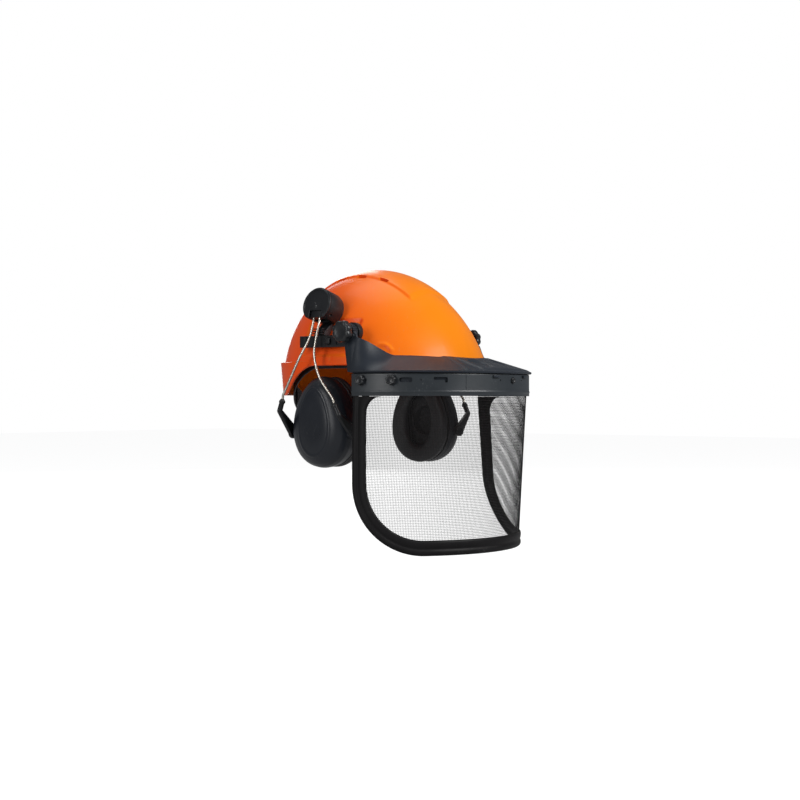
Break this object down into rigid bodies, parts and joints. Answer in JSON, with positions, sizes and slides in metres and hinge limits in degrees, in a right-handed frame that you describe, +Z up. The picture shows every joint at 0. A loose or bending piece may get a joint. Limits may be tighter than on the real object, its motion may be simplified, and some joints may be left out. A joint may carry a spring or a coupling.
{
  "type": "forestry safety helmet",
  "caption": "Vented forestry safety helmet with an inner harness, a tilting mesh face screen on a brow guard, and sprung ear muffs on side adapters.",
  "frame": {"origin": "centre of the head opening, in the plane of the shell's widest section", "axes": "+Z up through the crown, -Y towards the front of the helmet, +X towards the wearer's left"},
  "size_m": [0.2452, 0.2847, 0.2947],
  "materials": {
    "shell_orange": "moulded ABS, semi-gloss",
    "black_plastic": "moulded nylon, fine matt texture",
    "guard_grey": "moulded plastic, satin with soft highlights",
    "rail_grey": "flexible plastic strip, satin",
    "mesh_black": "woven nylon or coated steel mesh, matt",
    "trim_rubber": "extruded rubber edging, dull sheen",
    "steel": "zinc plated steel",
    "spring_steel": "drawn stainless spring wire",
    "cup_grey": "moulded ABS, satin",
    "pad_fabric": "foam-backed textile pad",
    "webbing": "woven polyester webbing",
    "foam": "open-cell foam",
    "cushion_skin": "soft PVC skin over foam"
  },
  "bodies": {
    "helmet": {"helmet_shell": "shell_orange", "headband": "black_plastic", "brow_pad": "pad_fabric", "web_front_left": "webbing", "web_side": "webbing", "web_front_right": "webbing", "crown_pad": "pad_fabric", "web_keys": "black_plastic", "hinge_washers": "steel", "hinge_bolts": "steel", "right_slot_adapter": "black_plastic", "right_muff_bracket": "black_plastic", "right_drum_spindle": "steel", "left_slot_adapter": "black_plastic", "left_muff_bracket": "black_plastic", "left_drum_spindle": "steel"},
    "nape": {"nape_strap": "black_plastic", "nape_pad": "pad_fabric", "ratchet_case": "black_plastic"},
    "ratchet": {"ratchet_knob": "black_plastic", "ratchet_pinion": "rail_grey"},
    "screen": {"brow_guard": "guard_grey", "screen_rail": "rail_grey", "screen_mesh": "mesh_black", "edge_trim": "trim_rubber", "rail_nuts": "black_plastic", "rail_studs": "steel", "rail_clips": "guard_grey"},
    "right_knob": {"right_hinge_knob": "black_plastic"},
    "right_drum": {"right_drum_case": "black_plastic", "right_drum_cap": "black_plastic", "right_drum_spring": "spring_steel", "right_rocker_pin": "steel"},
    "right_rocker": {"right_wire_rocker": "black_plastic"},
    "right_yoke": {"right_muff_wires": "spring_steel", "right_front_arm": "black_plastic", "right_rear_arm": "black_plastic"},
    "right_muff": {"right_ear_cup": "cup_grey", "right_cup_foam": "foam", "right_cup_plate": "black_plastic", "right_ear_cushion": "cushion_skin"},
    "left_knob": {"left_hinge_knob": "black_plastic"},
    "left_drum": {"left_drum_case": "black_plastic", "left_drum_cap": "black_plastic", "left_drum_spring": "spring_steel", "left_rocker_pin": "steel"},
    "left_rocker": {"left_wire_rocker": "black_plastic"},
    "left_yoke": {"left_muff_wires": "spring_steel", "left_front_arm": "black_plastic", "left_rear_arm": "black_plastic"},
    "left_muff": {"left_ear_cup": "cup_grey", "left_cup_foam": "foam", "left_cup_plate": "black_plastic", "left_ear_cushion": "cushion_skin"}
  },
  "joints": [
    {"name": "nape_slide", "type": "slide", "parent": "helmet", "child": "nape", "axis": [0, 1, 0], "range_m": [-0.0125, 0.0065]},
    {"name": "ratchet_turn", "type": "hinge", "parent": "nape", "child": "ratchet", "pos_m": [0, 0.098, -0.011], "axis": [0, 1, 0], "range_deg": [-115, 60]},
    {"name": "screen_tilt", "type": "hinge", "parent": "helmet", "child": "screen", "pos_m": [0, -0.035, 0.069], "axis": [-1, 0, 0], "range_deg": [0, 100]},
    {"name": "right_knob_turn", "type": "hinge", "parent": "helmet", "child": "right_knob", "pos_m": [-0.115, -0.035, 0.069], "axis": [-1, 0, 0], "range_deg": [-180, 180]},
    {"name": "right_drum_swing", "type": "hinge", "parent": "helmet", "child": "right_drum", "pos_m": [-0.107, 0.008, 0.099], "axis": [-0.9659, 0, 0.2588], "range_deg": [-5, 5]},
    {"name": "right_click_out", "type": "hinge", "parent": "right_drum", "child": "right_rocker", "pos_m": [-0.10186, 0.008, 0.08727], "axis": [0, 1, 0], "range_deg": [0, 22]},
    {"name": "right_height", "type": "slide", "parent": "right_rocker", "child": "right_yoke", "axis": [-0.2588, 0, -0.9659], "range_m": [0, 0.018]},
    {"name": "right_cup_tilt", "type": "hinge", "parent": "right_yoke", "child": "right_muff", "pos_m": [-0.096, 0.008, -0.034], "axis": [0, 1, 0], "range_deg": [-10, 10]},
    {"name": "left_knob_turn", "type": "hinge", "parent": "helmet", "child": "left_knob", "pos_m": [0.115, -0.035, 0.069], "axis": [1, 0, 0], "range_deg": [-180, 180]},
    {"name": "left_drum_swing", "type": "hinge", "parent": "helmet", "child": "left_drum", "pos_m": [0.107, 0.008, 0.099], "axis": [0.9659, 0, 0.2588], "range_deg": [-5, 5]},
    {"name": "left_click_out", "type": "hinge", "parent": "left_drum", "child": "left_rocker", "pos_m": [0.10186, 0.008, 0.08727], "axis": [0, -1, 0], "range_deg": [0, 22]},
    {"name": "left_height", "type": "slide", "parent": "left_rocker", "child": "left_yoke", "axis": [0.2588, 0, -0.9659], "range_m": [0, 0.018]},
    {"name": "left_cup_tilt", "type": "hinge", "parent": "left_yoke", "child": "left_muff", "pos_m": [0.096, 0.008, -0.034], "axis": [0, -1, 0], "range_deg": [-10, 10]}
  ],
  "couplings": [
    {"joint": "nape_slide", "follows": "ratchet_turn", "m_per_rad": 0.006}
  ]
}
